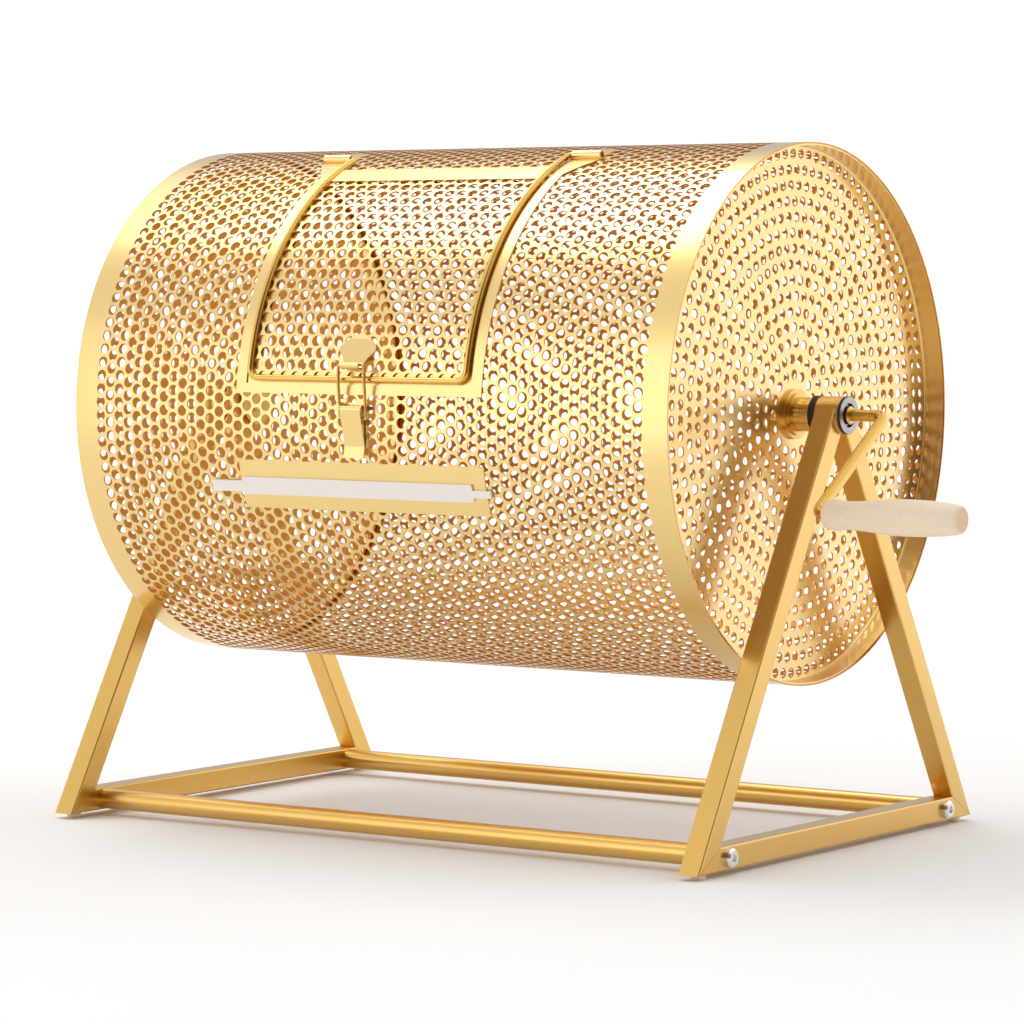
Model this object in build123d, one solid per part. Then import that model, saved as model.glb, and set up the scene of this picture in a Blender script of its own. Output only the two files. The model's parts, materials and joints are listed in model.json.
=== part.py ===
from build123d import *
import os
from math import asin, atan2, cos, degrees, hypot, radians, sin, sqrt, tan

# A raffle drum: a sheet drum with a hinged, latched door, on two bearings in an A-frame stand,
# turned by a cranked rod with a wooden grip.
#
# Millimetres, +Z up. X runs along the axle with the crank at +X, and the door faces -Y.
# Each shape is first built with X = 0 at the drum's middle and Y = 0 on the axle. PLACE then moves
# it, so that the origin is on the floor under the middle of the whole object's box.
# Angles round the drum are counted from the -Y side, upwards.

# ---------------------------------------------------------------- driving dimensions
DRUM_RADIUS = 150.0
DRUM_LENGTH = 405.0
SHEET = 0.8                # thickness of every sheet part
END_RECESS = 12.5          # from the drum's rim to the face of each end disc
AXLE_HEIGHT = 240.2

TUBE = 13.0                # square tube of the stand
TUBE_WALL = 1.2
TUBE_CORNER = 1.0          # outside radius of the tube's long edges
STAND_HALF_LENGTH = 222.0  # to the outer faces of the base rails
STAND_HALF_DEPTH = 149.0
CROSS_TUBE_RADIUS = 6.0
CROSS_TUBE_Y = 118.5
SEAM = 0.5                 # width and double depth of the seam at a mitre
FOOT_HEIGHT = 3.0
FOOT_RADIUS = 4.0
FOOT_Y = 139.0

HOUSING_RADIUS = 10.3      # bearing housing, which the legs are welded to
BEARING_RADIUS = 9.5
BEARING_WIDTH = 5.0
FLANGE_RADIUS = 10.5
AXLE_RADIUS = 5.0
AXLE_SHOULDER_RADIUS = 6.2
AXLE_END = 227.0
SLEEVE_RADIUS = 9.5
SLEEVE_END = 204.2

ROD_RADIUS = 3.25          # crank rod
CRANK_PLANE = 248.0
CRANK_THROW = 89.3
CRANK_ANGLE = -34.0        # below the -Y direction
CRANK_BEND = 5.8
GRIP_START = 254.6
GRIP_LENGTH = 81.4

DOOR_HALF_WIDTH = 74.2     # to the middle of the door's rim rod
DOOR_BOTTOM = 7.4          # angle of the rim rod's lower bar
HINGE_ANGLE = 70.5
RIM_RADIUS = 1.8           # rim rod's own radius
RIM_CENTRE = 152.1         # distance from the axle to the middle of the rim rod
RIM_CORNER = 6.0
HINGE_CORNER = 3.0
WINDOW_HALF_WIDTH = 68.0   # hole in the drum behind the door
WINDOW_BOTTOM = 9.0
WINDOW_TOP = 57.5

RUN = 0.05                 # radial clearance of a running or push fit

# ---------------------------------------------------------------- worked-out places
STAND_INNER = STAND_HALF_LENGTH - TUBE
DISC_FACE = DRUM_LENGTH / 2 - END_RECESS
AXIS = Axis((0, 0, AXLE_HEIGHT), (-1, 0, 0))   # turning about it raises the -Y side

LATCH_LIFT = 3.2           # lever's pivot above the axle's height
LATCH_OUT = 154.5          # lever's pivot in front of the axle
BAIL_ARM = 5.0             # from the lever's pivot down to the bail's
BAIL_INSET = 1.2           # bail's pivot behind the lever's
BAIL_WIRE = 0.9            # bail wire's own radius
BAIL_HALF_WIDTH = 8.9
HOOK_BORE = 1.75
HOOK_ANGLE = 10.2
HOOK_CENTRE = 157.4        # distance from the axle to the middle of the keeper's hook
LEVER_TIP_DROP = 26.9
LEVER_TIP_OUT = 153.3

GRIP_END = GRIP_START + GRIP_LENGTH
FRONT_REACH = HOOK_CENTRE * cos(radians(HOOK_ANGLE)) + HOOK_BORE + SHEET
PLACE = Location(((AXLE_END - GRIP_END) / 2, (FRONT_REACH - DRUM_RADIUS) / 2, 0))


# ---------------------------------------------------------------- helpers
def save(name, shape):
    """Write one named sub-part, moved to its place in the whole object."""
    export_step(PLACE * shape, f"parts/{name}.step")


def bar(radius, x0, x1, y=0.0, z=AXLE_HEIGHT):
    """Round bar along X."""
    spot = Location(((x0 + x1) / 2, y, z), (0, 90, 0))
    return spot * Cylinder(radius, x1 - x0)


def ring(outer, inner, x0, x1, y=0.0, z=AXLE_HEIGHT):
    """Round tube along X."""
    return bar(outer, x0, x1, y, z) - bar(inner, x0 - 1, x1 + 1, y, z)


def around(radius, angle, x=0.0):
    """Point at a distance from the axle and an angle round the drum."""
    a = radians(angle)
    return Vector(x, -radius * cos(a), AXLE_HEIGHT + radius * sin(a))


def upwards(angle):
    """Direction of growing angle at a point round the drum."""
    a = radians(angle)
    return Vector(0, sin(a), cos(a))


def curved_plate(x0, x1, angle0, angle1, inner, outer):
    """Plate that follows the drum between two angles and two distances from the axle."""
    a = radians(angle0)
    section = Plane(origin=(0, 0, AXLE_HEIGHT), x_dir=(1, 0, 0), z_dir=(0, -sin(a), -cos(a)))
    middle = ((x0 + x1) / 2, (inner + outer) / 2)
    face = section * (Pos(*middle) * Rectangle(x1 - x0, outer - inner))
    return revolve(face, AXIS, angle1 - angle0)


def side_plate(points, x0, x1):
    """Plate with an outline of (y, z) points, from x0 to x1."""
    outline = Wire(Polyline(*[(x0, y, z) for y, z in points], close=True))
    return extrude(Face(outline), amount=x1 - x0, dir=(1, 0, 0))


def both_ends(name, shape):
    """Save a +X shape and its mirror image at -X."""
    save(f"right_{name}", shape)
    save(f"left_{name}", mirror(shape, Plane.YZ))


def wire(radius, path):
    """Round wire along a path of tangent edges."""
    section = Plane(origin=path @ 0, z_dir=path % 0) * Circle(radius)
    return sweep(section, path)


# ---------------------------------------------------------------- stand
BASE = FOOT_HEIGHT
AXLE_RISE = AXLE_HEIGHT - BASE
# The legs' outer faces run from the base's corners to touch the bearing housings.
LEG_LEAN = atan2(STAND_HALF_DEPTH, AXLE_RISE) - asin(HOUSING_RADIUS / hypot(STAND_HALF_DEPTH, AXLE_RISE))
MITRE = (radians(90) - LEG_LEAN) / 2


def leg_strip(near, far):
    """Long strip along the front leg, between two depths behind its outer face."""
    points = []
    for depth, length in ((near, -40), (far, -40), (far, 320), (near, 320)):
        y = -STAND_HALF_DEPTH + depth * cos(LEG_LEAN) + length * sin(LEG_LEAN)
        z = BASE - depth * sin(LEG_LEAN) + length * cos(LEG_LEAN)
        points.append((y, z))
    return points


def front_leg():
    """Mitred square tube from the base's front corner up to the bearing housing, at +X."""
    reach = 2 * STAND_HALF_DEPTH
    above_mitre = [
        (-STAND_HALF_DEPTH, BASE),
        (-STAND_HALF_DEPTH + reach, BASE + reach * tan(MITRE)),
        (-STAND_HALF_DEPTH + reach, AXLE_HEIGHT),
        (-STAND_HALF_DEPTH - TUBE, AXLE_HEIGHT + HOUSING_RADIUS),
    ]
    tube = side_plate(leg_strip(0, TUBE), STAND_INNER, STAND_HALF_LENGTH)
    tube = fillet([edge for edge in tube.edges() if edge.length > 100], TUBE_CORNER)
    tube &= side_plate(above_mitre, STAND_INNER, STAND_HALF_LENGTH)
    tube &= Pos(STAND_INNER, -100, AXLE_HEIGHT / 2) * Box(60, 200, 2 * AXLE_HEIGHT)
    hollow = leg_strip(TUBE_WALL, TUBE - TUBE_WALL)
    tube -= side_plate(hollow, STAND_INNER + TUBE_WALL, STAND_HALF_LENGTH - TUBE_WALL)
    tube -= bar(HOUSING_RADIUS, STAND_INNER - 5, STAND_HALF_LENGTH + 5)
    return max(tube.solids(), key=lambda solid: solid.volume)


def base_rail():
    """Square tube along Y at +X, with bolt and foot holes and a fine seam at its mitred ends."""
    inset = TUBE / tan(MITRE)
    outline = [
        (-STAND_HALF_DEPTH, BASE),
        (STAND_HALF_DEPTH, BASE),
        (STAND_HALF_DEPTH - inset, BASE + TUBE),
        (-STAND_HALF_DEPTH + inset, BASE + TUBE),
    ]
    middle = Pos(STAND_INNER + TUBE / 2, 0, BASE + TUBE / 2)
    tube = Box(TUBE, 3 * STAND_HALF_DEPTH, TUBE)
    tube = fillet(tube.edges().filter_by(Axis.Y), TUBE_CORNER)
    hollow = TUBE - 2 * TUBE_WALL
    rail = middle * (tube - Box(hollow, 4 * STAND_HALF_DEPTH, hollow))
    rail &= side_plate(outline, STAND_INNER - 1, STAND_HALF_LENGTH + 1)
    start, reach = -STAND_HALF_DEPTH - inset, 3 * inset
    mitre_line = [(start, BASE - TUBE), (start + reach, BASE + 2 * TUBE)]
    behind_line = [(y + SEAM, z) for y, z in reversed(mitre_line)]
    seam = side_plate([*mitre_line, *behind_line], STAND_INNER - 1, STAND_HALF_LENGTH + 1)
    seam -= middle * Box(TUBE - SEAM, 4 * STAND_HALF_DEPTH, TUBE - SEAM)
    rail -= seam
    rail -= mirror(seam, Plane.XZ)
    for y in (-CROSS_TUBE_Y, CROSS_TUBE_Y):
        rail -= bar(BOLT_RADIUS + 0.2, STAND_INNER - 1, STAND_HALF_LENGTH + 1, y, BASE + TUBE / 2)
    for y in (-FOOT_Y, FOOT_Y):
        rail -= Pos(STAND_INNER + TUBE / 2, y, BASE) * Cylinder(FOOT_STEM_RADIUS, 2 * TUBE_WALL + 1)
    return rail


CROSS_TUBE_WALL = 0.8
BOLT_RADIUS = 3.0
BOLT_HEAD_RADIUS = 5.25
BOLT_HEAD_HEIGHT = 3.3
BOLT_CHAMFER = 1.2
BOLT_SOCKET = 4.0          # across flats
BOLT_SOCKET_DEPTH = 2.1
BOLT_LENGTH = 30.0
INSERT_LENGTH = 14.0
FOOT_STEM_RADIUS = 2.2
FOOT_STEM_LENGTH = 2.5


def cross_tube(y):
    """Round tube between the base rails' inner faces."""
    inner = CROSS_TUBE_RADIUS - CROSS_TUBE_WALL
    return ring(CROSS_TUBE_RADIUS, inner, -STAND_INNER, STAND_INNER, y, BASE + TUBE / 2)


def threaded_insert(y):
    """Plug in a cross tube's end, which the frame bolt screws into."""
    outer = CROSS_TUBE_RADIUS - CROSS_TUBE_WALL
    return ring(outer, BOLT_RADIUS, STAND_INNER - INSERT_LENGTH, STAND_INNER, y, BASE + TUBE / 2)


def frame_bolt(y):
    """Round-head bolt with a hexagon socket, through a rail into a cross tube."""
    z = BASE + TUBE / 2
    seat = STAND_HALF_LENGTH
    crown = seat + BOLT_HEAD_HEIGHT
    tip = seat - BOLT_LENGTH
    shank = [(crown, 0), (tip, 0), (tip, BOLT_RADIUS), (seat, BOLT_RADIUS)]
    head = [
        (seat, BOLT_HEAD_RADIUS),
        (crown - BOLT_CHAMFER, BOLT_HEAD_RADIUS),
        (crown, BOLT_HEAD_RADIUS - BOLT_CHAMFER),
    ]
    body = revolve(make_face(Polyline(*shank, *head, close=True)), Axis.X)
    socket_face = Plane(origin=(crown - BOLT_SOCKET_DEPTH, 0, 0), z_dir=(1, 0, 0))
    socket = extrude(socket_face * RegularPolygon(BOLT_SOCKET / sqrt(3), 6), amount=5)
    return Pos(0, y, z) * (body - socket)


def foot(y):
    """Round push-in foot under a rail, slightly tapered."""
    x = STAND_INNER + TUBE / 2
    disc = Pos(x, y, FOOT_HEIGHT / 2) * Cylinder(FOOT_RADIUS, FOOT_HEIGHT)
    disc = chamfer(disc.edges().group_by(Axis.Z)[0], 0.6)
    stem_radius = FOOT_STEM_RADIUS - RUN
    return disc + Pos(x, y, FOOT_HEIGHT + FOOT_STEM_LENGTH / 2) * Cylinder(stem_radius, FOOT_STEM_LENGTH)


def make_stand():
    leg = front_leg()
    both_ends("front_leg", leg)
    both_ends("rear_leg", mirror(leg, Plane.XZ))
    both_ends("base_rail", base_rail())
    save("front_cross_tube", cross_tube(-CROSS_TUBE_Y))
    save("rear_cross_tube", cross_tube(CROSS_TUBE_Y))
    for name, piece, y in (
        ("cross_tube_inserts", threaded_insert, CROSS_TUBE_Y),
        ("frame_bolts", frame_bolt, CROSS_TUBE_Y),
        ("feet", foot, FOOT_Y),
    ):
        pair = [piece(-y), piece(y)]
        pair += [mirror(shape, Plane.YZ) for shape in pair]
        save(name, Compound(pair))


# ---------------------------------------------------------------- bearings
HOUSING_START = 208.6
HOUSING_END = 223.4
RING_LIP = 1.5             # thickness of a bearing's flange
SHIELD = 0.3
RACE_OUTER = 8.2           # inside of the outer ring
RACE_INNER = 6.3           # outside of the inner ring
SEAL_END = SLEEVE_END + 0.4
BALL_RADIUS = 1.25
BALL_COUNT = 11


def housing():
    """Short tube at the top of an A-frame, which holds both bearings of that side."""
    return ring(HOUSING_RADIUS, BEARING_RADIUS, HOUSING_START, HOUSING_END)


def outer_race(face, inward):
    """Bearing's outer ring: face is where its flange meets the housing, inward points into it."""
    body = sorted((face, face + inward * BEARING_WIDTH))
    lip = sorted((face, face - inward * RING_LIP))
    return ring(BEARING_RADIUS, RACE_OUTER, *body) + ring(FLANGE_RADIUS, RACE_OUTER, *lip) - ball_groove(
        face + inward * BEARING_WIDTH / 2
    )


def inner_race(face, inward):
    """Bearing's inner ring, on the axle."""
    span = sorted((face, face + inward * BEARING_WIDTH))
    return ring(RACE_INNER, AXLE_RADIUS, *span) - ball_groove(face + inward * BEARING_WIDTH / 2)


def ball_groove(x):
    """Ring that the balls roll in, a little larger than the balls."""
    middle = (RACE_OUTER + RACE_INNER) / 2
    section = Plane.XZ * (Pos(x, AXLE_HEIGHT + middle) * Circle(BALL_RADIUS + RUN))
    return revolve(section, AXIS)


def balls(x):
    """One bearing's balls."""
    middle = (RACE_OUTER + RACE_INNER) / 2
    return [
        Pos(around(middle, 360 * i / BALL_COUNT, x)) * Sphere(BALL_RADIUS) for i in range(BALL_COUNT)
    ]


def make_bearings():
    both_ends("bearing_housing", housing())
    both_ends("inner_bearing_outer_ring", outer_race(HOUSING_START, 1))
    both_ends("outer_bearing_outer_ring", outer_race(HOUSING_END, -1))
    both_ends("inner_bearing_inner_ring", inner_race(HOUSING_START, 1))
    both_ends("outer_bearing_inner_ring", inner_race(HOUSING_END, -1))
    between = (HOUSING_START + BEARING_WIDTH, HOUSING_END - BEARING_WIDTH)
    both_ends("bearing_spacer", ring(RACE_INNER, AXLE_RADIUS, *between))
    seal_bore = AXLE_SHOULDER_RADIUS + 0.4
    both_ends("bearing_seal", ring(FLANGE_RADIUS, seal_bore, SEAL_END, HOUSING_START - RING_LIP))
    shield = HOUSING_END + RING_LIP
    both_ends("bearing_shield", ring(FLANGE_RADIUS - 0.3, RACE_INNER + 0.4, shield, shield + SHIELD))
    middle = BEARING_WIDTH / 2
    both_ends("bearing_balls", Compound(balls(HOUSING_START + middle) + balls(HOUSING_END - middle)))


# ---------------------------------------------------------------- drum
def drum_shell():
    """Rolled sheet with the window behind the door."""
    shell = ring(DRUM_RADIUS, DRUM_RADIUS - SHEET, -DRUM_LENGTH / 2, DRUM_LENGTH / 2)
    window = curved_plate(
        -WINDOW_HALF_WIDTH, WINDOW_HALF_WIDTH, WINDOW_BOTTOM, WINDOW_TOP, DRUM_RADIUS - 5, DRUM_RADIUS + 5
    )
    return shell - window


def end_disc():
    """Dished end: a flat disc whose turned-out flange lines the drum's rim."""
    outer = DRUM_RADIUS - SHEET
    disc = ring(outer, AXLE_SHOULDER_RADIUS, DISC_FACE - SHEET, DISC_FACE)
    flange = ring(outer, outer - SHEET, DISC_FACE, DRUM_LENGTH / 2 - 0.5)
    return disc + flange


HUB_RADIUS = 14.0
HUB_STEP_RADIUS = 11.6
HUB_FLANGE = 2.2
HUB_STEP = 1.4


def hub_flange():
    """Stepped washer that spreads the axle's load over the end disc."""
    step_start = DISC_FACE + HUB_FLANGE
    washer = ring(HUB_RADIUS, AXLE_SHOULDER_RADIUS, DISC_FACE, step_start)
    washer += ring(HUB_STEP_RADIUS, AXLE_SHOULDER_RADIUS, step_start, step_start + HUB_STEP)
    return washer


def axle():
    """Stub axle with a shoulder for the bearing, and a bore in its end for the crank rod."""
    step = bar(AXLE_SHOULDER_RADIUS, DISC_FACE - SHEET - 3, HOUSING_START)
    journal = bar(AXLE_RADIUS, HOUSING_START, AXLE_END)
    journal = chamfer(journal.edges().filter_by(GeomType.CIRCLE).sort_by(Axis.X)[-1], 0.8)
    return step + journal


def make_drum():
    save("drum_shell", drum_shell())
    both_ends("end_disc", end_disc())
    both_ends("hub_flange", hub_flange())
    sleeve_start = DISC_FACE + HUB_FLANGE + HUB_STEP
    both_ends("hub_sleeve", ring(SLEEVE_RADIUS, AXLE_SHOULDER_RADIUS, sleeve_start, SLEEVE_END))
    backing_face = DISC_FACE - SHEET
    both_ends("hub_backing_washer", ring(HUB_RADIUS, AXLE_SHOULDER_RADIUS, backing_face - 2, backing_face))
    save("left_axle", mirror(axle(), Plane.YZ))
    save("right_axle", axle() - bar(ROD_RADIUS, CRANK_SOCKET, AXLE_END + 1))


# ---------------------------------------------------------------- crank
CRANK_SOCKET = 200.0       # where the rod's end sits in the right axle
GRIP_BORE = ROD_RADIUS + RUN
ROD_END = GRIP_END - 12.0
PLUG_RADIUS = 5.5
PLUG_DEPTH = 6.0
CAP_THICKNESS = 1.2


def crank_pin():
    """Centre line of the grip, as (y, z)."""
    pin = around(CRANK_THROW, CRANK_ANGLE)
    return pin.Y, pin.Z


def crank_rod():
    """Round rod from the axle, bent twice to carry the grip."""
    y, z = crank_pin()
    on_axle = [(CRANK_SOCKET, 0, AXLE_HEIGHT), (CRANK_PLANE, 0, AXLE_HEIGHT)]
    on_pin = [(CRANK_PLANE, y, z), (ROD_END, y, z)]
    path = FilletPolyline(*on_axle, *on_pin, radius=CRANK_BEND)
    return wire(ROD_RADIUS, path)


def grip():
    """Turned wooden grip: a collar, a neck, and a swelling barrel that tapers to its end."""
    y, z = crank_pin()
    x0 = GRIP_START
    collar = 8.5
    neck = 7.7
    belly = 9.8
    tip = 7.2
    shoulder = Spline(
        (x0, 6.0), (x0 + 2.6, collar - 0.6), (x0 + 6.0, collar), (x0 + 10.5, neck + 0.25), (x0 + 14.0, neck),
        tangents=((0, 1), (1, 0)),
    )
    barrel = Spline(
        (x0 + 14.0, neck), (x0 + 38.0, belly - 0.35), (x0 + 52.0, belly), (GRIP_END - 1.2, tip + 0.6),
        tangents=((1, 0), (1, -0.16)),
    )
    end = Line((GRIP_END - 1.2, tip + 0.6), (GRIP_END, tip - 0.5))
    closing = Polyline((GRIP_END, tip - 0.5), (GRIP_END, 0), (x0, 0), (x0, 6.0))
    profile = Plane.XY * make_face(Curve([shoulder, barrel, end, closing]).edges())
    body = revolve(profile, Axis.X)
    body = Pos(0, y, z) * body
    body -= bar(GRIP_BORE, GRIP_START - 1, ROD_END + 3, y, z)
    return body - bar(PLUG_RADIUS, ROD_END - CAP_THICKNESS - 0.4, GRIP_END + 1, y, z)


def make_crank():
    y, z = crank_pin()
    save("crank_rod", crank_rod())
    save("grip", grip())
    cap_start = ROD_END - CAP_THICKNESS
    save("grip_retaining_washer", ring(PLUG_RADIUS - 0.5, ROD_RADIUS, cap_start, ROD_END, y, z))
    save("grip_end_plug", bar(PLUG_RADIUS, GRIP_END - PLUG_DEPTH, GRIP_END, y, z))


# ---------------------------------------------------------------- door
PANEL_INNER = DRUM_RADIUS + 0.3
PANEL_OUTER = PANEL_INNER + SHEET
SURROUND_HALF_WIDTH = 84.0
SURROUND_BOTTOM = 4.25
SURROUND_TOP = 61.5
SURROUND_GAP = 77.2
SURROUND_LIP = 6.3
STRAP_HALF_SPAN = 96.0
STRAP_BOTTOM = 68.5
STRAP_TOP = 77.0
STRAP_BORE = RIM_RADIUS + 0.1
RAIL_BOTTOM = 59.0
RAIL_TOP = 64.3
PANEL_TOP = 64.0


def rim_path():
    """Centre line of the rim rod's right half, from the lower bar's middle to the hinge pin's end."""
    arm_start = DOOR_BOTTOM + degrees(atan2(RIM_CORNER, RIM_CENTRE))
    arm_end = HINGE_ANGLE - degrees(atan2(HINGE_CORNER, RIM_CENTRE))
    x = DOOR_HALF_WIDTH
    foot_of_arm = around(RIM_CENTRE, arm_start, x)
    head_of_arm = around(RIM_CENTRE, arm_end, x)
    bar_corner = foot_of_arm - upwards(arm_start) * RIM_CORNER
    pin_corner = head_of_arm + upwards(arm_end) * HINGE_CORNER
    bar_end = bar_corner - Vector(RIM_CORNER, 0, 0)
    pin_start = pin_corner + Vector(HINGE_CORNER, 0, 0)
    middle = around(RIM_CENTRE, (arm_start + arm_end) / 2, x)
    return [
        Line(Vector(0, bar_end.Y, bar_end.Z), bar_end),
        TangentArc(bar_end, foot_of_arm, tangent=(1, 0, 0)),
        ThreePointArc(foot_of_arm, middle, head_of_arm),
        TangentArc(head_of_arm, pin_start, tangent=upwards(arm_end)),
        Line(pin_start, Vector(STRAP_HALF_SPAN - 1, pin_start.Y, pin_start.Z)),
    ]


def door_rim():
    """Rod round three sides of the door, whose ends turn outwards as the hinge pins."""
    half = None
    for edge in rim_path():
        piece = sweep(Plane(origin=edge @ 0, z_dir=edge % 0) * Circle(RIM_RADIUS), edge)
        half = piece if half is None else half + piece
    return half + mirror(half, Plane.YZ)


def hinge_pin_centre():
    """Centre of the hinge pins, as a vector at X = 0."""
    pin = rim_path()[-1] @ 0
    return Vector(0, pin.Y, pin.Z)


def door_panel():
    """Curved sheet inside the rim rod, with rounded lower corners."""
    side = DOOR_HALF_WIDTH - sqrt(RIM_RADIUS**2 - (RIM_CENTRE - PANEL_OUTER) ** 2) - 0.05
    bottom = DOOR_BOTTOM + degrees((DOOR_HALF_WIDTH - side) / DRUM_RADIUS)
    panel = curved_plate(-side, side, bottom, PANEL_TOP, PANEL_INNER, PANEL_OUTER)
    short = [edge for edge in panel.edges() if edge.length < 2 * SHEET]
    lower = sorted(short, key=lambda edge: edge.center().Z)[:2]
    return fillet(lower, RIM_CORNER - RIM_RADIUS)


def door_top_rail():
    """Plain strip across the top of the door."""
    side = DOOR_HALF_WIDTH - RIM_RADIUS - 0.05
    return curved_plate(-side, side, RAIL_BOTTOM, RAIL_TOP, PANEL_OUTER, PANEL_OUTER + SHEET)


def window_surround():
    """Flat strip on the drum along both sides and the bottom of the door."""
    outer = DRUM_RADIUS + SHEET
    strip = curved_plate(
        -SURROUND_HALF_WIDTH, SURROUND_HALF_WIDTH, SURROUND_BOTTOM, SURROUND_TOP, DRUM_RADIUS, outer
    )
    return strip - curved_plate(-SURROUND_GAP, SURROUND_GAP, SURROUND_LIP, 70, DRUM_RADIUS - 1, outer + 1)


def hinge_strap():
    """Strap over a hinge pin: a tapered front foot, an arch round the pin, and a rear foot."""
    outer = DRUM_RADIUS + SHEET
    pin = hinge_pin_centre()
    plate = curved_plate(SURROUND_GAP, STRAP_HALF_SPAN, SURROUND_TOP, STRAP_TOP, DRUM_RADIUS, outer)
    taper_low = around(outer, SURROUND_TOP, SURROUND_HALF_WIDTH)
    taper_high = around(outer, STRAP_BOTTOM, STRAP_HALF_SPAN)
    outward = around(1, (SURROUND_TOP + STRAP_BOTTOM) / 2) - around(0, 0)
    corner = Vector(STRAP_HALF_SPAN + 5, taper_low.Y, taper_low.Z)
    beyond = Vector(STRAP_HALF_SPAN + 5, taper_high.Y, taper_high.Z)
    wedge = Face(Wire(Polyline(taper_low, taper_high, beyond, corner, close=True)))
    plate -= extrude(wedge, amount=5, dir=outward, both=True)
    arch = bar(STRAP_BORE + SHEET, SURROUND_GAP, STRAP_HALF_SPAN, pin.Y, pin.Z)
    strap = plate + arch - bar(DRUM_RADIUS, SURROUND_GAP - 1, STRAP_HALF_SPAN + 1)
    return strap - bar(STRAP_BORE, SURROUND_GAP - 1, STRAP_HALF_SPAN + 1, pin.Y, pin.Z)


def make_door():
    save("door_rim_rod", door_rim())
    save("door_panel", door_panel())
    save("door_top_rail", door_top_rail())
    save("window_surround", window_surround())
    both_ends("hinge_strap", hinge_strap())


# ---------------------------------------------------------------- latch
PIVOT = (-LATCH_OUT, AXLE_HEIGHT + LATCH_LIFT)
BAIL_PIVOT = (PIVOT[0] + BAIL_INSET, PIVOT[1] - BAIL_ARM)
LEVER_HALF_WIDTH = 6.8
EAR_GAP = 0.2
EAR = 0.6                  # thickness of the base's ears
PIN_RADIUS = 0.8
LEVER_ROLL = 2.2
KEEPER_OUTER = PANEL_OUTER + SHEET
RAMP_TOP = 16.0            # angle at which the keeper starts to rise off the door


def keeper():
    """Shield-shaped plate on the door, whose neck rises to a hook for the bail's crossbar."""
    top = RAMP_TOP + 1.0
    plate = curved_plate(-15, 15, RAMP_TOP - 0.1, top, PANEL_OUTER, KEEPER_OUTER)
    foot = around(PANEL_OUTER, RAMP_TOP)
    foot_front = around(KEEPER_OUTER, RAMP_TOP)
    head = around(HOOK_CENTRE - HOOK_BORE - SHEET, HOOK_ANGLE)
    head_front = around(HOOK_CENTRE - HOOK_BORE, HOOK_ANGLE)
    corners = [(point.Y, point.Z) for point in (foot, foot_front, head_front, head)]
    ramp = side_plate(corners, -15, 15)
    middle = around(PANEL_OUTER, HOOK_ANGLE)
    facing = Plane(origin=middle, x_dir=(1, 0, 0), z_dir=around(1, HOOK_ANGLE) - around(0, 0))
    right_half = [(6.4, -1), (7.4, 3), (13.2, 9.6), (5.6, 17.0)]
    left_half = [(-x, y) for x, y in reversed(right_half)]
    outline = Face(Wire(Polyline(*right_half, *left_half, close=True)))
    for low, high, radius in ((2, 5, 8.0), (8, 12, 2.2), (15, 20, 6.0)):
        outline = fillet([vertex for vertex in outline.vertices() if low < vertex.Y < high], radius)
    sheet = (plate + ramp) & extrude(facing * outline, amount=9, both=True)
    return sheet + keeper_hook()


def hook_centre():
    """Centre of the keeper's hook, where the bail's crossbar lies."""
    return around(HOOK_CENTRE, HOOK_ANGLE)


def keeper_hook():
    """Half-round hook, open upwards, with a short straight lip."""
    outward = around(1, HOOK_ANGLE) - around(0, 0)
    section = Plane(origin=hook_centre(), x_dir=outward, z_dir=(-1, 0, 0))
    curl = Circle(HOOK_BORE + SHEET) - Circle(HOOK_BORE)
    curl &= Pos(0, -5) * Rectangle(20, 10)
    lip = Pos(HOOK_BORE + SHEET / 2, 0.4) * Rectangle(SHEET, 0.8)
    return extrude(section * (curl + lip), amount=6.4, both=True)


def latch_base():
    """Plate on the drum with two ears for the lever's pin, which run on downwards as low cheeks."""
    outer = DRUM_RADIUS + SHEET
    inside = LEVER_HALF_WIDTH + EAR_GAP
    outside = inside + EAR
    base = curved_plate(-outside, outside, -8.4, 2.6, DRUM_RADIUS, outer)
    y, z = PIVOT
    front_edge = [(y, z + 2.4), (y, z - 2.4), (y + 2.7, z - 3.0), (y + 3.4, z - 21)]
    ear = side_plate([*front_edge, (y + 6, z - 21), (y + 6, z + 2.4)], inside, outside)
    ear += bar(2.4, inside, outside, y, z)
    ear -= bar(DRUM_RADIUS, inside - 1, outside + 1)
    ear -= bar(PIN_RADIUS, inside - 1, outside + 1, y, z)
    return base + ear + mirror(ear, Plane.YZ)


def latch_lever():
    """Finger lever: a bent plate with tapering side flanges and a flared tip."""
    y, z = PIVOT
    front = y - LEVER_ROLL
    knee = (-151.9, z - 20.5)
    tip = (-LEVER_TIP_OUT, z - LEVER_TIP_DROP)
    face = [(front, z), knee, tip, (tip[0] + SHEET, tip[1]), (knee[0] + SHEET, knee[1]), (front + SHEET, z)]
    plate = side_plate(face, -LEVER_HALF_WIDTH, LEVER_HALF_WIDTH)
    plate += ring(LEVER_ROLL, LEVER_ROLL - SHEET, -LEVER_HALF_WIDTH, LEVER_HALF_WIDTH, y, z)
    flange_points = [(front, z), knee, (y + 2.6, z - 9), (y + LEVER_ROLL - 0.1, z)]
    flange = side_plate(flange_points, LEVER_HALF_WIDTH - SHEET, LEVER_HALF_WIDTH)
    flange += bar(LEVER_ROLL, LEVER_HALF_WIDTH - SHEET, LEVER_HALF_WIDTH, y, z)
    flange -= bar(PIN_RADIUS + RUN, 0, 2 * LEVER_HALF_WIDTH, y, z)
    flange -= bar(BAIL_WIRE + RUN, 0, 2 * LEVER_HALF_WIDTH, *BAIL_PIVOT)
    lever = plate - bar(PIN_RADIUS + RUN, -2 * LEVER_HALF_WIDTH, 2 * LEVER_HALF_WIDTH, y, z)
    return lever + flange + mirror(flange, Plane.YZ)


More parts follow.
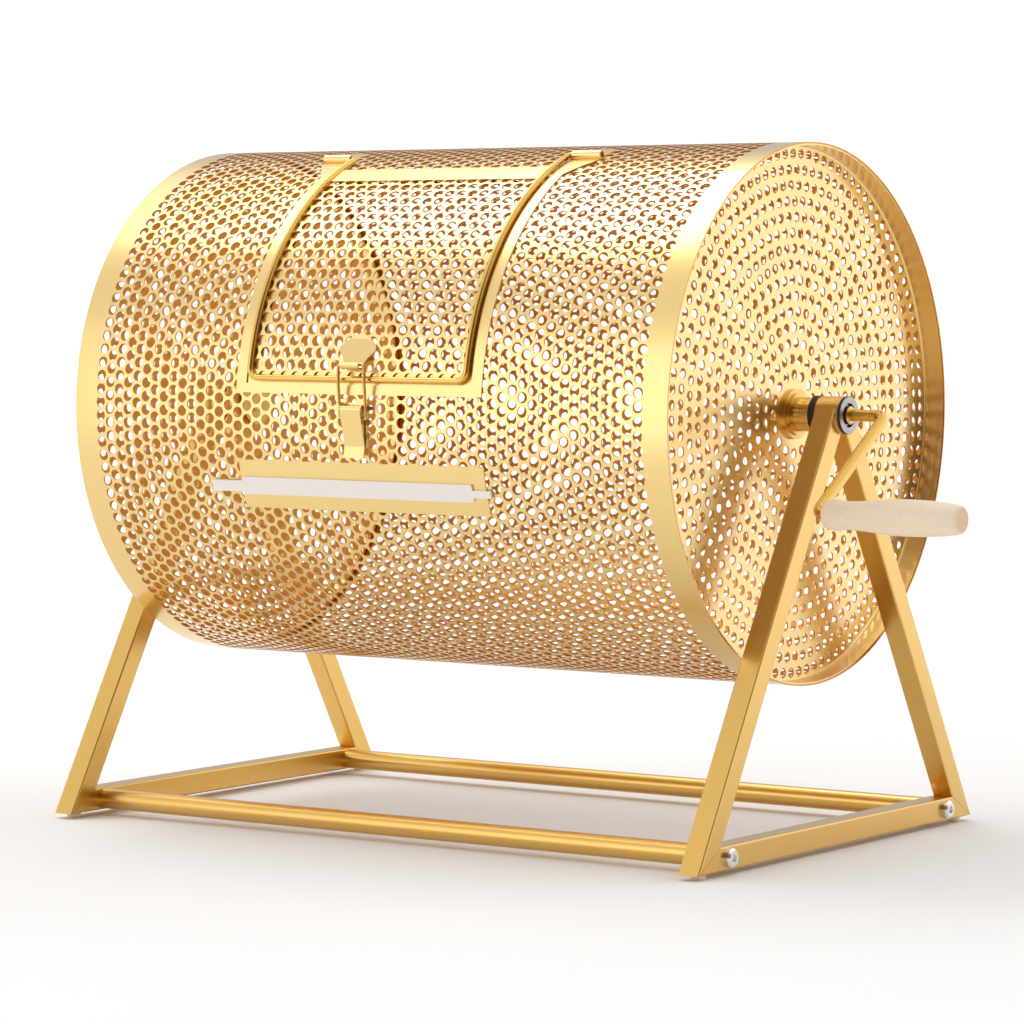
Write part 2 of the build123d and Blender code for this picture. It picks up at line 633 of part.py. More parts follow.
def latch_pin():
    """Pin through the base's ears and the lever, flush with the ears."""
    y, z = PIVOT
    end = LEVER_HALF_WIDTH + EAR_GAP + EAR
    return bar(PIN_RADIUS, -end, end, y, z)


def latch_bail():
    """Wire loop from the lever's flanges up to the keeper's hook, bowed over the rim rod."""
    top = hook_centre()
    y, z = BAIL_PIVOT
    bow = around(RIM_CENTRE + RIM_RADIUS + BAIL_WIRE + 1.4, DOOR_BOTTOM - 0.8)
    side = BAIL_HALF_WIDTH
    points = [
        (0, top.Y, top.Z),
        (side, top.Y, top.Z),
        (side, bow.Y, bow.Z),
        (side, y, z),
        (LEVER_HALF_WIDTH - SHEET, y, z),
    ]
    path = FilletPolyline(*points, radius=(1.6, 12.0, 1.0))
    half = wire(BAIL_WIRE, path)
    return half + mirror(half, Plane.YZ)


def make_latch():
    save("keeper_plate", keeper())
    save("latch_base", latch_base())
    save("latch_lever", latch_lever())
    save("latch_pin", latch_pin())
    save("latch_bail", latch_bail())


# ---------------------------------------------------------------- plate and strip
PLATE_TOP = -10.2
PLATE_BOTTOM = -20.9
STRIP_THICKNESS = 1.2


def cover_strip():
    """Blank plastic strip on the plate, with a narrower tongue at each end."""
    inner = DRUM_RADIUS + SHEET
    outer = inner + STRIP_THICKNESS
    body = curved_plate(-83, 75.5, -17.7, -13.9, inner, outer)
    body = fillet([edge for edge in body.edges() if edge.length < 2 * STRIP_THICKNESS], 1.5)
    body += curved_plate(-104.5, -82, -17.2, -14.8, inner, outer)
    return body + curved_plate(74, 87.5, -16.7, -15.1, inner, outer)


def make_plate():
    span = (-SURROUND_HALF_WIDTH, SURROUND_HALF_WIDTH)
    save("front_plate", curved_plate(*span, PLATE_BOTTOM, PLATE_TOP, DRUM_RADIUS, DRUM_RADIUS + SHEET))
    save("cover_strip", cover_strip())


os.makedirs("parts", exist_ok=True)
make_stand()
make_bearings()
make_drum()
make_crank()
make_door()
make_latch()
make_plate()
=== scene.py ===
import json
import math

import bmesh
import bpy
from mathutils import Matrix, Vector
from mathutils.geometry import delaunay_2d_cdt


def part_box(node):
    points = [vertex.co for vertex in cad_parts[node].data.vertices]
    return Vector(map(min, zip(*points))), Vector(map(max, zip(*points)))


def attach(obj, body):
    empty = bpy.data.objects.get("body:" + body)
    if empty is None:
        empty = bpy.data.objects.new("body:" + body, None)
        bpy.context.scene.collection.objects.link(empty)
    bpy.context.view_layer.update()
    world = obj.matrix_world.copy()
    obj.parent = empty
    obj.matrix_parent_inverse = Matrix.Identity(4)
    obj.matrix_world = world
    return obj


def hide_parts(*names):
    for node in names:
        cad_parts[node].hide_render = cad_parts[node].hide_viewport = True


# The raffle drum's looks: real holes through its sheets, and materials, lights and a camera.
# Metres, in the row frame. Angles round the drum are counted from the -Y side, upwards.

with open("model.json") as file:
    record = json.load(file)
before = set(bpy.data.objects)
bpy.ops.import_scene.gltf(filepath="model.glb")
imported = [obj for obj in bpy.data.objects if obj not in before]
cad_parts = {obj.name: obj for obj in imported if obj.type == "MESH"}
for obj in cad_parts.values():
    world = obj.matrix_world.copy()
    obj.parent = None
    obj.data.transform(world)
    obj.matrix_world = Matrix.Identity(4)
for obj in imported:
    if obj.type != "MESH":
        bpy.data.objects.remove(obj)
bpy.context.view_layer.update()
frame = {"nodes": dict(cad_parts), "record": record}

# ---------------------------------------------------------------- sizes from the frame
SHELL_LOW, SHELL_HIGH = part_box("drum_shell")
MIDDLE = (SHELL_LOW + SHELL_HIGH) / 2
DRUM_RADIUS = (SHELL_HIGH.z - SHELL_LOW.z) / 2
DRUM_LENGTH = SHELL_HIGH.x - SHELL_LOW.x
SHEET = 0.0008
DISC_LOW, DISC_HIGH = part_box("right_end_disc")
DISC_FACE = DISC_LOW.x + SHEET - MIDDLE.x
DISC_RIM = DISC_HIGH.x - MIDDLE.x
DISC_PLAY = 0.00005         # keeps an end disc's facets inside the shell
DISC_RADIUS = (DISC_HIGH.z - DISC_LOW.z) / 2 - DISC_PLAY
PANEL_LOW, PANEL_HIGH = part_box("door_panel")
PANEL_LIFT = 0.0011         # how far the door panel's outer face stands out from the shell's
PANEL_RADIUS = DRUM_RADIUS + PANEL_LIFT
PANEL_HALF_WIDTH = (PANEL_HIGH.x - PANEL_LOW.x) / 2

# ---------------------------------------------------------------- perforation
HOLE_PITCH = 0.00775
HOLE_RADIUS = 0.0031
HOLE_SIDES = 12             # also the points round a cell: its 6 corners and 6 edge middles
PLAIN_RIM = 0.012           # drum's edge without holes
WINDOW_HALF_WIDTH = 0.068
WINDOW_ANGLES = (9.0, 57.5)
WINDOW_MARGIN = 0.011       # shell's plain border round the window
PANEL_ANGLES = (8.0, 64.0)
RING_PITCH = 0.0087         # end discs: distance between rings of holes
RING_SPACING = 0.0084       # and between the holes of a ring
DISC_HOLE_RADIUS = 0.003
DISC_EDGE = 0.0005          # plain strip between the outer ring of holes and the bend
HUB_RADIUS = 0.0165         # no rings of holes inside this radius
BORE_RADIUS = 0.0062        # hole for the axle
CORNER_RADIUS = 0.0012      # bend between an end disc and its rim flange
BEND_STEPS = 4
ROUND_STEPS = 224           # facets round an end disc
BORE_STEPS = 32
SHARP_ANGLE = 35
SAME_POINT = 1e-7           # points nearer than this are one


def flat_honeycomb(columns, rows, pitch, hole_radius, has_hole):
    """Flat sheet of hexagonal cells, in columns along y.

    has_hole(x, y) says whether the cell at that place gets a hole.
    """
    step = pitch * math.sqrt(3) / 2
    bm = bmesh.new()
    welded = {}

    def vertex(x, y):
        key = (round(x * 1e6), round(y * 1e6))
        if key not in welded:
            welded[key] = bm.verts.new((x, y, 0))
        return welded[key]

    for column in range(columns):
        for row in range(rows):
            x = (column - (columns - 1) / 2) * step
            y = (row - (rows - 1) / 2 + 0.5 * (column % 2)) * pitch
            border = []
            for side in range(HOLE_SIDES):
                angle = math.radians(360 * side / HOLE_SIDES)
                reach = pitch / math.sqrt(3) if side % 2 == 0 else pitch / 2
                border.append(vertex(x + reach * math.cos(angle), y + reach * math.sin(angle)))
            if not has_hole(x, y):
                bm.faces.new(border)
                continue
            hole = []
            for side in range(HOLE_SIDES):
                angle = math.radians(360 * side / HOLE_SIDES)
                point = (x + hole_radius * math.cos(angle), y + hole_radius * math.sin(angle), 0)
                hole.append(bm.verts.new(point))
            for side in range(HOLE_SIDES):
                after = (side + 1) % HOLE_SIDES
                bm.faces.new((border[side], border[after], hole[after], hole[side]))
    return bm


def trim(bm, x=None, y=None, keep_above=True):
    """Cut a flat sheet along a line of constant x or y, and drop one side."""
    bmesh.ops.bisect_plane(
        bm,
        geom=bm.verts[:] + bm.edges[:] + bm.faces[:],
        dist=SAME_POINT,
        plane_co=(x or 0, y or 0, 0),
        plane_no=(1, 0, 0) if x is not None else (0, 1, 0),
        clear_inner=keep_above,
        clear_outer=not keep_above,
    )


def cut_window(bm, x0, x1, y0, y1):
    """Cut a rectangular window out of a flat sheet."""
    reach = 2 * HOLE_PITCH
    for axis, value in ((0, x0), (0, x1), (1, y0), (1, y1)):
        near = [
            face for face in bm.faces
            if x0 - reach < face.calc_center_median().x < x1 + reach
            and y0 - reach < face.calc_center_median().y < y1 + reach
        ]
        parts = set(near)
        for face in near:
            parts.update(face.edges)
            parts.update(face.verts)
        point = (value, 0, 0) if axis == 0 else (0, value, 0)
        normal = (1, 0, 0) if axis == 0 else (0, 1, 0)
        bmesh.ops.bisect_plane(
            bm, geom=list(parts), dist=SAME_POINT, plane_co=point, plane_no=normal
        )
    inside = [
        face for face in bm.faces
        if x0 < face.calc_center_median().x < x1 and y0 < face.calc_center_median().y < y1
    ]
    bmesh.ops.delete(bm, geom=inside, context="FACES")


def thick_mesh(name, points, faces, place, thickness):
    """Object from a flat sheet of (x, y) points.

    place(x, y, depth) gives the sheet its shape, and depth its thickness. Points that it puts in
    one place, as where the sheet closes on itself, are welded.
    """
    welded, index, corners = {}, [], []
    for x, y in points:
        outer = place(x, y, 0)
        key = tuple(round(value * 1e6) for value in outer)
        if key not in welded:
            welded[key] = len(corners)
            corners.append((outer, place(x, y, thickness)))
        index.append(welded[key])
    count = len(corners)
    outer_faces = [[index[i] for i in face] for face in faces]
    directed = {(face[i - 1], face[i]) for face in outer_faces for i in range(len(face))}
    free = [(a, b) for a, b in directed if (b, a) not in directed]
    walls = [(b, a, a + count, b + count) for a, b in free]
    inner_faces = [[i + count for i in reversed(face)] for face in outer_faces]
    outer_points = [outer for outer, _ in corners]
    inner_points = [inner for _, inner in corners]
    all_faces = outer_faces + inner_faces + walls
    mesh = bpy.data.meshes.new(name)
    mesh.from_pydata(outer_points + inner_points, [], all_faces)
    return finish_object(name, mesh, range(len(outer_faces), len(all_faces)))


def finish_object(name, mesh, inner_faces):
    """Object with smooth faces and crisp edges, whose inner faces and walls take the second
    material: the darker brass that paints the shade inside the drum.
    """
    for face in inner_faces:
        mesh.polygons[face].material_index = 1
    mesh.shade_smooth()
    mesh.set_sharp_from_angle(angle=math.radians(SHARP_ANGLE))
    obj = bpy.data.objects.new(name, mesh)
    bpy.context.scene.collection.objects.link(obj)
    return obj


def flat_data(bm):
    """Points and faces of a flat sheet."""
    bm.verts.index_update()
    points = [(vert.co.x, vert.co.y) for vert in bm.verts]
    faces = [[vert.index for vert in face.verts] for face in bm.faces]
    bm.free()
    return points, faces


def round_drum(radius):
    """place() function that wraps y round the drum at a radius, and takes depth inwards."""

    def place(x, y, depth):
        angle = y / DRUM_RADIUS
        reach = radius - depth
        forward, up = reach * math.cos(angle), reach * math.sin(angle)
        return (MIDDLE.x + x, MIDDLE.y - forward, MIDDLE.z + up)

    return place


def make_shell():
    """Drum shell: holes everywhere but at the rims and round the window behind the door."""
    round_length = 2 * math.pi * DRUM_RADIUS
    rows = round(round_length / HOLE_PITCH)
    pitch = round_length / rows
    step = pitch * math.sqrt(3) / 2
    columns = 2 * math.ceil(DRUM_LENGTH / 2 / step) + 2
    last_hole = DRUM_LENGTH / 2 - PLAIN_RIM - HOLE_RADIUS
    low, high = (math.radians(angle) * DRUM_RADIUS for angle in WINDOW_ANGLES)

    def has_hole(x, y):
        beside_window = abs(x) < WINDOW_HALF_WIDTH + WINDOW_MARGIN
        level_with_window = low - WINDOW_MARGIN < y < high
        return abs(x) < last_hole and not (beside_window and level_with_window)

    bm = flat_honeycomb(columns, rows, pitch, HOLE_RADIUS, has_hole)
    trim(bm, x=-DRUM_LENGTH / 2)
    trim(bm, x=DRUM_LENGTH / 2, keep_above=False)
    cut_window(bm, -WINDOW_HALF_WIDTH, WINDOW_HALF_WIDTH, low, high)
    return thick_mesh("drum_shell_perforated", *flat_data(bm), round_drum(DRUM_RADIUS), SHEET)


def make_panel():
    """Door panel: the same holes turned a quarter, cut off at the panel's edges."""
    low, high = (math.radians(angle) * DRUM_RADIUS for angle in PANEL_ANGLES)
    middle = (low + high) / 2
    step = HOLE_PITCH * math.sqrt(3) / 2
    columns = 2 * math.ceil((high - low) / 2 / step) + 3
    rows = 2 * math.ceil(PANEL_HALF_WIDTH / HOLE_PITCH) + 3
    bm = flat_honeycomb(columns, rows, HOLE_PITCH, HOLE_RADIUS, lambda x, y: True)
    for vert in bm.verts:
        vert.co = Vector((vert.co.y, middle - vert.co.x, 0))
    trim(bm, x=-PANEL_HALF_WIDTH)
    trim(bm, x=PANEL_HALF_WIDTH, keep_above=False)
    trim(bm, y=low)
    trim(bm, y=high, keep_above=False)
    return thick_mesh("door_panel_perforated", *flat_data(bm), round_drum(PANEL_RADIUS), SHEET)


def circle(radius, sides, centre=(0.0, 0.0)):
    """Points of a circle."""
    points = []
    for side in range(sides):
        angle = 2 * math.pi * side / sides
        x, y = radius * math.cos(angle), radius * math.sin(angle)
        points.append(Vector((centre[0] + x, centre[1] + y)))
    return points


def disc_loops(flat_radius):
    """Outlines on the flat of an end disc: its edge, the axle's bore, then the rings of holes."""
    loops = [circle(flat_radius, ROUND_STEPS), circle(BORE_RADIUS, BORE_STEPS)]
    ring_radius = flat_radius - DISC_EDGE - DISC_HOLE_RADIUS
    while ring_radius > HUB_RADIUS:
        count = round(2 * math.pi * ring_radius / RING_SPACING)
        for centre in circle(ring_radius, count):
            loops.append(circle(DISC_HOLE_RADIUS, HOLE_SIDES, centre))
        ring_radius -= RING_PITCH
    return loops


def fill_between(loops):
    """Triangles between the first loop and the holes that the others make in it."""
    points, edges, loop_of = [], [], {}
    for number, loop in enumerate(loops):
        start = len(points)
        edges += [(start + i, start + (i + 1) % len(loop)) for i in range(len(loop))]
        loop_of.update({start + i: number for i in range(len(loop))})
        points += loop
    flat_points, _, triangles, sources, *_ = delaunay_2d_cdt(points, edges, [], 1, SAME_POINT)
    around = [loop_of[source[0]] for source in sources]
    kept = [t for t in triangles if around[t[0]] == 0 or len({around[i] for i in t}) > 1]
    return flat_points, kept


def flange_profile(flat_radius):
    """Section of the flange, from the disc's front edge round to its back, as (depth, radius)."""
    bend = CORNER_RADIUS + SHEET
    front, back = [], []
    for step in range(BEND_STEPS + 1):
        angle = math.radians(90 * step / BEND_STEPS)
        towards, out = 1 - math.cos(angle), math.sin(angle)
        front.append((CORNER_RADIUS * towards, flat_radius + CORNER_RADIUS * out))
        back.append((bend * towards - SHEET, flat_radius + bend * out))
    rim = DISC_RIM - DISC_FACE
    return front + [(rim, DISC_RADIUS - SHEET), (rim, DISC_RADIUS)] + back[::-1]


def make_disc(name, end):
    """Dished end: rings of holes in a flat disc, whose flange turns outwards inside the rim."""
    flat_radius = DISC_RADIUS - SHEET - CORNER_RADIUS
    flat_points, triangles = fill_between(disc_loops(flat_radius))
    profile = flange_profile(flat_radius)

    verts = []
    for depth in (0.0, -SHEET):
        verts += [(depth, point[0], point[1]) for point in flat_points]
    count = len(flat_points)
    faces = [tuple(triangle) for triangle in triangles]
    directed = {(face[i - 1], face[i]) for face in faces for i in range(3)}
    free = [(a, b) for a, b in directed if (b, a) not in directed]
    rim_edges = [(a, b) for a, b in free if flat_points[a].length > flat_radius - DISC_EDGE / 2]
    first_inner = len(faces)
    faces += [(b, a, a + count, b + count) for a, b in free if (a, b) not in rim_edges]
    faces += [tuple(i + count for i in reversed(triangle)) for triangle in triangles]
    after_inner = len(faces)
    columns = {}
    for a in {vertex for edge in rim_edges for vertex in edge}:
        across = flat_points[a].normalized()
        column = [a]
        for depth, radius in profile[1:-1]:
            column.append(len(verts))
            verts.append((depth, radius * across[0], radius * across[1]))
        column.append(a + count)
        columns[a] = column
    for a, b in rim_edges:
        for i in range(len(profile) - 1):
            faces.append((columns[b][i], columns[a][i], columns[a][i + 1], columns[b][i + 1]))

    placed = []
    for depth, y, z in verts:
        placed.append((MIDDLE.x + end * (DISC_FACE + depth), MIDDLE.y + end * y, MIDDLE.z + z))
    mesh = bpy.data.meshes.new(name)
    mesh.from_pydata(placed, [], faces)
    return finish_object(name, mesh, range(first_inner, after_inner))


# ---------------------------------------------------------------- materials
def new_material(name):
    """Empty node material: the material, its nodes, its links and its main shader."""
    material = bpy.data.materials.new(name)
    material.use_nodes = True
    nodes = material.node_tree.nodes
    return material, nodes, material.node_tree.links, nodes["Principled BSDF"]


def object_noise(nodes, links, scale, detail=3.0, stretch=(1, 1, 1), roughness=0.5):
    """Noise in object space, at a scale in metres and stretched along the axes."""
    place = nodes.new("ShaderNodeTexCoord")
    mapping = nodes.new("ShaderNodeMapping")
    mapping.inputs["Scale"].default_value = stretch
    links.new(place.outputs["Object"], mapping.inputs["Vector"])
    noise = nodes.new("ShaderNodeTexNoise")
    noise.inputs["Scale"].default_value = 1 / scale
    noise.inputs["Detail"].default_value = detail
    noise.inputs["Roughness"].default_value = roughness
    links.new(mapping.outputs["Vector"], noise.inputs["Vector"])
    return noise.outputs["Fac"]


def ramp(nodes, links, factor, stops):
    """Colour ramp over a factor, with (position, colour) stops."""
    node = nodes.new("ShaderNodeValToRGB")
    while len(node.color_ramp.elements) < len(stops):
        node.color_ramp.elements.new(0.5)
    for element, (position, colour) in zip(node.color_ramp.elements, stops):
        element.position = position
        element.color = (*colour, 1)
    links.new(factor, node.inputs["Fac"])
    return node.outputs["Color"]


def varied(nodes, links, factor, low, high):
    """A number that follows a factor between two values."""
    node = nodes.new("ShaderNodeMapRange")
    node.inputs["To Min"].default_value = low
    node.inputs["To Max"].default_value = high
    links.new(factor, node.inputs["Value"])
    return node.outputs["Result"]


def add_bump(nodes, links, shader, height, distance, strength):
    """Bump from a height, over a distance in metres."""
    node = nodes.new("ShaderNodeBump")
    node.inputs["Distance"].default_value = distance
    node.inputs["Strength"].default_value = strength
    links.new(height, node.inputs["Height"])
    links.new(node.outputs["Normal"], shader.inputs["Normal"])


def brass_material(name, light, deep, rough_low, rough_high, coat):
    """Brass-coloured satin plating under a clear coat, with faint clouds and orange peel."""
    material, nodes, links, shader = new_material(name)
    clouds = object_noise(nodes, links, 0.09, detail=2)
    links.new(ramp(nodes, links, clouds, [(0.3, deep), (0.7, light)]), shader.inputs["Base Color"])
    polish = object_noise(nodes, links, 0.03, detail=3)
    links.new(varied(nodes, links, polish, rough_low, rough_high), shader.inputs["Roughness"])
    shader.inputs["Metallic"].default_value = 1.0
    shader.inputs["Coat Weight"].default_value = coat
    shader.inputs["Coat Roughness"].default_value = 0.2
    shader.inputs["Coat IOR"].default_value = 2.0
    peel = object_noise(nodes, links, 0.0011, detail=2)
    add_bump(nodes, links, shader, peel, 0.00001, 0.08)
    return material


def steel_material(name, light, deep, rough_low, rough_high):
    """Bare steel with fine turning marks."""
    material, nodes, links, shader = new_material(name)
    marks = object_noise(nodes, links, 0.002, detail=4, stretch=(8, 1, 1))
    links.new(ramp(nodes, links, marks, [(0.3, deep), (0.7, light)]), shader.inputs["Base Color"])
    links.new(varied(nodes, links, marks, rough_low, rough_high), shader.inputs["Roughness"])
    shader.inputs["Metallic"].default_value = 1.0
    add_bump(nodes, links, shader, marks, 0.00004, 0.3)
    return material


def plain_material(name, light, deep, rough_low, rough_high, grain, bump):
    """Moulded or coated surface: slight mottling, uneven gloss and a fine grain."""
    material, nodes, links, shader = new_material(name)
    mottle = object_noise(nodes, links, 0.004, detail=3)
    links.new(ramp(nodes, links, mottle, [(0.3, deep), (0.7, light)]), shader.inputs["Base Color"])
    links.new(varied(nodes, links, mottle, rough_low, rough_high), shader.inputs["Roughness"])
    add_bump(nodes, links, shader, object_noise(nodes, links, grain, detail=2), 0.00003, bump)
    return material


def multiply(nodes, links, first, second):
    """Product of two colours."""
    mix = nodes.new("ShaderNodeMix")
    mix.data_type = "RGBA"
    mix.blend_type = "MULTIPLY"
    mix.inputs["Factor"].default_value = 1.0
    links.new(first, mix.inputs["A"])
    links.new(second, mix.inputs["B"])
    return mix.outputs["Result"]


def wood_material(name):
    """Pale turned beech: fibres along X, faint bands and flecks, and darker end grain."""
    material, nodes, links, shader = new_material(name)
    bands = object_noise(nodes, links, 0.004, detail=3, stretch=(0.06, 1, 1))
    fibres = object_noise(nodes, links, 0.0006, detail=4, stretch=(0.04, 1, 1), roughness=0.65)
    flecks = object_noise(nodes, links, 0.0009, detail=1, stretch=(0.25, 1, 1))
    base = ramp(nodes, links, bands, [(0.25, (0.98, 0.81, 0.61)), (0.75, (1.0, 0.87, 0.69))])
    fleck = ramp(nodes, links, flecks, [(0.64, (1, 1, 1)), (0.78, (0.93, 0.87, 0.80))])
    split = nodes.new("ShaderNodeSeparateXYZ")
    links.new(nodes.new("ShaderNodeTexCoord").outputs["Normal"], split.inputs["Vector"])
    stops = [(0.75, (1, 1, 1)), (0.95, (0.80, 0.66, 0.52))]
    end_grain = ramp(nodes, links, split.outputs["X"], stops)
    colour = multiply(nodes, links, multiply(nodes, links, base, fleck), end_grain)
    links.new(colour, shader.inputs["Base Color"])
    links.new(varied(nodes, links, fibres, 0.45, 0.62), shader.inputs["Roughness"])
    add_bump(nodes, links, shader, fibres, 0.00006, 0.35)
    return material


# ---------------------------------------------------------------- build
shell = make_shell()
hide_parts("drum_shell")
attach(shell, "drum")
panel = make_panel()
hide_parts("door_panel")
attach(panel, "door")
discs = [make_disc("right_end_disc_perforated", 1), make_disc("left_end_disc_perforated", -1)]
for disc, node in zip(discs, ("right_end_disc", "left_end_disc")):
    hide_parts(node)
    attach(disc, "drum")

BRASS, BRASS_DEEP = (0.75, 0.45, 0.078), (0.735, 0.435, 0.073)
SHEET_BRASS, SHEET_DEEP = (0.86, 0.60, 0.19), (0.845, 0.585, 0.182)
# Painted shade: a darker, redder copy of the sheet's brass for the inner faces and hole walls, in
# place of the shade inside the drum.
PAINTED_SHADE_BRASS, PAINTED_SHADE_DEEP = (0.66, 0.30, 0.055), (0.63, 0.285, 0.05)
STEEL, STEEL_DEEP = (0.44, 0.44, 0.45), (0.32, 0.32, 0.33)
BOLT_STEEL, BOLT_DEEP = (0.90, 0.90, 0.90), (0.80, 0.80, 0.80)
BLACK, BLACK_DEEP = (0.03, 0.03, 0.032), (0.015, 0.015, 0.016)
INSERT, INSERT_DEEP = (0.05, 0.05, 0.05), (0.03, 0.03, 0.03)
FOOT, FOOT_DEEP = (0.90, 0.80, 0.64), (0.86, 0.75, 0.58)
STRIP, STRIP_DEEP = (0.97, 0.925, 0.88), (0.965, 0.92, 0.875)
# Last come the lowest and highest roughness, and the clear coat or the grain's size and depth.
MATERIALS = {
    "brass_plate": brass_material("brass_plate", BRASS, BRASS_DEEP, 0.28, 0.32, 0.6),
    "brass_rod": brass_material("brass_rod", BRASS, BRASS_DEEP, 0.25, 0.28, 0.4),
    "perforated_brass": brass_material("perforated_brass", SHEET_BRASS, SHEET_DEEP, 0.26, 0.31, 0.8),
    "steel": steel_material("steel", STEEL, STEEL_DEEP, 0.25, 0.4),
    "bolt_steel": steel_material("bolt_steel", BOLT_STEEL, BOLT_DEEP, 0.18, 0.28),
    "bearing_black": plain_material("bearing_black", BLACK, BLACK_DEEP, 0.35, 0.5, 0.0008, 0.3),
    "seal_rubber": plain_material("seal_rubber", BLACK, BLACK_DEEP, 0.5, 0.8, 0.0012, 0.8),
    "insert_plastic": plain_material("insert_plastic", INSERT, INSERT_DEEP, 0.5, 0.6, 0.0008, 0.3),
    "foot_plastic": plain_material("foot_plastic", FOOT, FOOT_DEEP, 0.15, 0.3, 0.0008, 0.3),
    "white_plastic": plain_material("white_plastic", STRIP, STRIP_DEEP, 0.28, 0.31, 0.0006, 0.04),
    "wood": wood_material("wood"),
}
# These are folded from the drum's own sheet, so they have its paler finish.
SHEET_PARTS = (
    "front_plate", "window_surround", "door_top_rail", "keeper_plate", "latch_base", "latch_lever",
    "left_hinge_strap", "right_hinge_strap",
)
# These are drawn rod and turned pieces, a little smoother than the stand's tubes.
ROD_PARTS = ("crank_rod", "door_rim_rod", "latch_bail", "left_hub_sleeve", "right_hub_sleeve")
for entry in frame["record"]["subparts"]:
    node = frame["nodes"][entry["node"]]
    slot = entry["material_slot"]
    if entry["node"] in SHEET_PARTS:
        slot = "perforated_brass"
    if entry["node"] in ROD_PARTS:
        slot = "brass_rod"
    node.data.materials.clear()
    node.data.materials.append(MATERIALS[slot])
# The shell, door panel and end discs take this darker brass on their inner faces and hole walls:
# painted shade for the drum's inside.
inside = brass_material("perforated_brass_painted_shade", PAINTED_SHADE_BRASS, PAINTED_SHADE_DEEP, 0.32, 0.44, 0.1)
for piece in (shell, panel, *discs):
    piece.data.materials.append(MATERIALS["perforated_brass"])
    piece.data.materials.append(inside)

# ---------------------------------------------------------------- floor, light and camera
AIM_BELOW_AXLE = 0.0608
CAMERA_DISTANCE = 2.3978
CAMERA_AZIMUTH = 34.74
CAMERA_ELEVATION = 3.43
CAMERA_LENS = 145.17        # millimetres
FLOOR_SOLID = 0.4           # radius up to which the floor is solid
FLOOR_END = 1.8             # and radius where it has faded out


def direction(azimuth, elevation):
    """Unit vector from the object towards a viewer or lamp, for angles in degrees."""
    turn, rise = math.radians(azimuth), math.radians(elevation)
    level = math.cos(rise)
    return Vector((level * math.sin(turn), -level * math.cos(turn), math.sin(rise)))


def make_floor():
    """Pale floor, which fades out into the white studio away from the drum."""
    mesh = bpy.data.meshes.new("floor")
    side = 1.1 * FLOOR_END
    corners = [(-side, -side, 0), (side, -side, 0), (side, side, 0), (-side, side, 0)]
    mesh.from_pydata(corners, [], [(0, 1, 2, 3)])
    floor = bpy.data.objects.new("floor", mesh)
    bpy.context.scene.collection.objects.link(floor)
    material, nodes, links, shader = new_material("floor_paper")
    tone = object_noise(nodes, links, 0.6, detail=2)
    colour = ramp(nodes, links, tone, [(0.3, (0.93, 0.93, 0.93)), (0.7, (0.96, 0.96, 0.96))])
    links.new(colour, shader.inputs["Base Color"])
    shader.inputs["Roughness"].default_value = 0.9
    reach = nodes.new("ShaderNodeVectorMath")
    reach.operation = "LENGTH"
    links.new(nodes.new("ShaderNodeTexCoord").outputs["Object"], reach.inputs[0])
    fade = nodes.new("ShaderNodeMapRange")
    fade.interpolation_type = "SMOOTHSTEP"
    fade.inputs["From Min"].default_value = FLOOR_SOLID
    fade.inputs["From Max"].default_value = FLOOR_END
    links.new(reach.outputs["Value"], fade.inputs["Value"])
    mix = nodes.new("ShaderNodeMixShader")
    links.new(fade.outputs["Result"], mix.inputs["Fac"])
    links.new(shader.outputs["BSDF"], mix.inputs[1])
    links.new(nodes.new("ShaderNodeBsdfTransparent").outputs["BSDF"], mix.inputs[2])
    links.new(mix.outputs["Shader"], nodes["Material Output"].inputs["Surface"])
    mesh.materials.append(material)


def area_light(name, azimuth, elevation, distance, size, power):
    """Soft lamp aimed at the drum, with its width and height."""
    data = bpy.data.lights.new(name, "AREA")
    data.shape = "RECTANGLE"
    data.size, data.size_y = size
    data.energy = power
    lamp = bpy.data.objects.new(name, data)
    towards = direction(azimuth, elevation)
    lamp.location = MIDDLE + towards * distance
    lamp.rotation_euler = towards.to_track_quat("Z", "Y").to_euler()
    bpy.context.scene.collection.objects.link(lamp)


# Panels of the studio: azimuth, elevation, angle within which it is full, angle at which it is
# gone, and colour.
STUDIO_PANELS = [
    (0, 90, 20, 75, (1.0, 1.0, 1.0)),
    (-52, 42, 8, 20, (0.85, 0.85, 0.85)),
    (-145, 12, 14, 32, (0.5, 0.5, 0.5)),
    (40, 14, 26, 58, (0.14, 0.09, 0.05)),
    (145, 0, 25, 60, (1.25, 1.25, 1.25)),
]


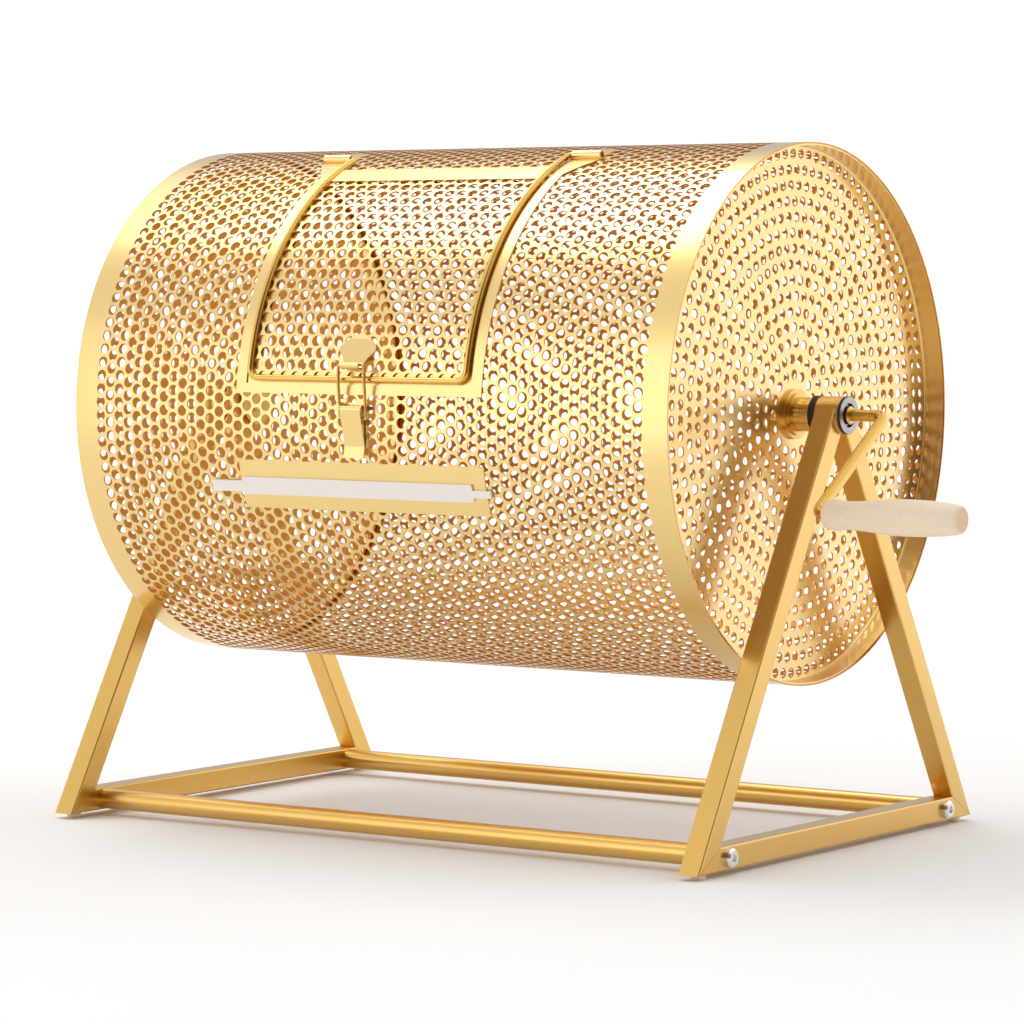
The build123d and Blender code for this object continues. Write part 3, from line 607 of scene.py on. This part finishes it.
def blend(nodes, links, factor, under, colour):
    """Blend from a colour (white, if there is none yet) to another colour."""
    mix = nodes.new("ShaderNodeMix")
    mix.data_type = "RGBA"
    links.new(factor, mix.inputs["Factor"])
    mix.inputs["A"].default_value = (1, 1, 1, 1)
    if under is not None:
        links.new(under, mix.inputs["A"])
    mix.inputs["B"].default_value = (*colour, 1)
    return mix.outputs["Result"]


def make_world():
    """White studio, as the camera sees it, with bright and dark panels that only the metal sees."""
    world = bpy.data.worlds.new("studio")
    world.use_nodes = True
    nodes, links = world.node_tree.nodes, world.node_tree.links
    seen = nodes.new("ShaderNodeLightPath").outputs["Is Camera Ray"]
    towards = nodes.new("ShaderNodeTexCoord").outputs["Generated"]
    colour = None
    for azimuth, elevation, full, fade, panel_colour in STUDIO_PANELS:
        dot = nodes.new("ShaderNodeVectorMath")
        dot.operation = "DOT_PRODUCT"
        links.new(towards, dot.inputs[0])
        dot.inputs[1].default_value = direction(azimuth, elevation)
        edge = nodes.new("ShaderNodeMapRange")
        edge.interpolation_type = "SMOOTHSTEP"
        edge.inputs["From Min"].default_value = math.cos(math.radians(fade))
        edge.inputs["From Max"].default_value = math.cos(math.radians(full))
        links.new(dot.outputs["Value"], edge.inputs["Value"])
        colour = blend(nodes, links, edge.outputs["Result"], colour, panel_colour)
    links.new(blend(nodes, links, seen, colour, (1, 1, 1)), nodes["Background"].inputs["Color"])
    bpy.context.scene.world = world


def make_camera():
    """Camera at the photograph's angle."""
    data = bpy.data.cameras.new("camera")
    data.lens = CAMERA_LENS
    data.sensor_width = 36
    data.clip_end = 50
    camera = bpy.data.objects.new("camera", data)
    towards = direction(CAMERA_AZIMUTH, CAMERA_ELEVATION)
    camera.location = MIDDLE - Vector((0, 0, AIM_BELOW_AXLE)) + towards * CAMERA_DISTANCE
    camera.rotation_euler = towards.to_track_quat("Z", "Y").to_euler()
    bpy.context.scene.collection.objects.link(camera)
    bpy.context.scene.camera = camera


make_floor()
make_world()
# The key is a strip high on the left, and the fill a square at the front left.
area_light("key", -103, 60, 2.4, (1.8, 0.7), 12)
area_light("fill", -22, 8, 2.2, (1.5, 1.5), 3.9)
make_camera()
bpy.context.scene.view_settings.view_transform = "Standard"
bpy.context.scene.view_settings.exposure = 0.1
